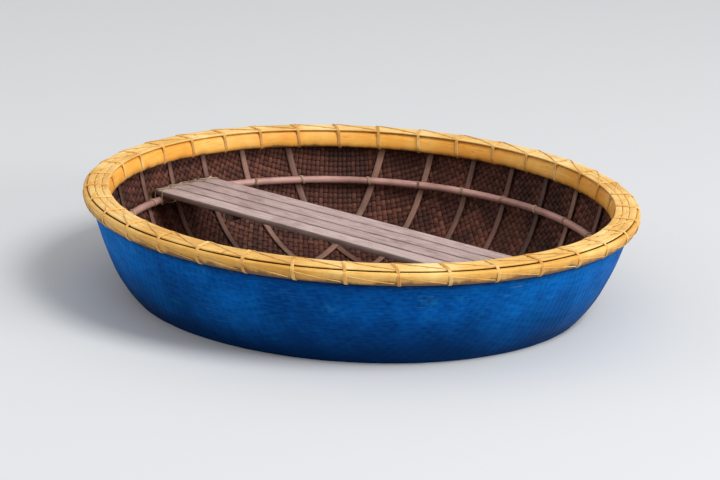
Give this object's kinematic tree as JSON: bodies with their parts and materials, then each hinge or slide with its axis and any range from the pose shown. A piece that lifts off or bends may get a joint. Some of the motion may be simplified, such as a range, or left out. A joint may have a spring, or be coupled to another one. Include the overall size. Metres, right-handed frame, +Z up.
{
  "type": "round basket boat",
  "caption": "Round coracle of woven bamboo with a painted coat, a lashed bamboo rim, inner ribs and a slatted bench",
  "frame": {"origin": "middle of the flat of the bottom, on the surface the boat stands on", "axes": "+Z up; X along the bench; the sitters' legs are on the -Y side of the bench"},
  "size_m": [1.9006, 1.9006, 0.5228],
  "materials": {
    "hull_paint": "brushed paint over a resin coat on the weave",
    "bare_bamboo": "dark oiled split bamboo",
    "rim_paint": "worn yellow paint on split bamboo",
    "lashing_cord": "twisted cord painted with the rim",
    "stringer_bamboo": "weathered bamboo pole",
    "bench_wood": "weathered grey-brown plank"
  },
  "bodies": {
    "root": {"hull_coat": "hull_paint", "hull_basket": "bare_bamboo", "rib_along_1": "bare_bamboo", "rib_along_2": "bare_bamboo", "rib_along_3": "bare_bamboo", "rib_along_4": "bare_bamboo", "rib_along_5": "bare_bamboo", "rib_along_6": "bare_bamboo", "rib_along_7": "bare_bamboo", "rib_athwart_1": "bare_bamboo", "rib_athwart_2": "bare_bamboo", "rib_athwart_3": "bare_bamboo", "rib_athwart_4": "bare_bamboo", "rib_athwart_5": "bare_bamboo", "rib_athwart_6": "bare_bamboo", "rib_athwart_7": "bare_bamboo", "rim_outer_hoop": "rim_paint", "rim_inner_hoop": "rim_paint", "rim_cap_lath_1": "rim_paint", "rim_cap_lath_2": "rim_paint", "rim_cap_lath_3": "rim_paint", "rim_lashings": "lashing_cord", "stringer_hoop": "stringer_bamboo", "bench_plank_1": "bench_wood", "bench_plank_2": "bench_wood", "bench_plank_3": "bench_wood", "bench_plank_4": "bench_wood", "bench_cleat_1": "bench_wood", "bench_cleat_2": "bench_wood"}
  },
  "joints": []
}
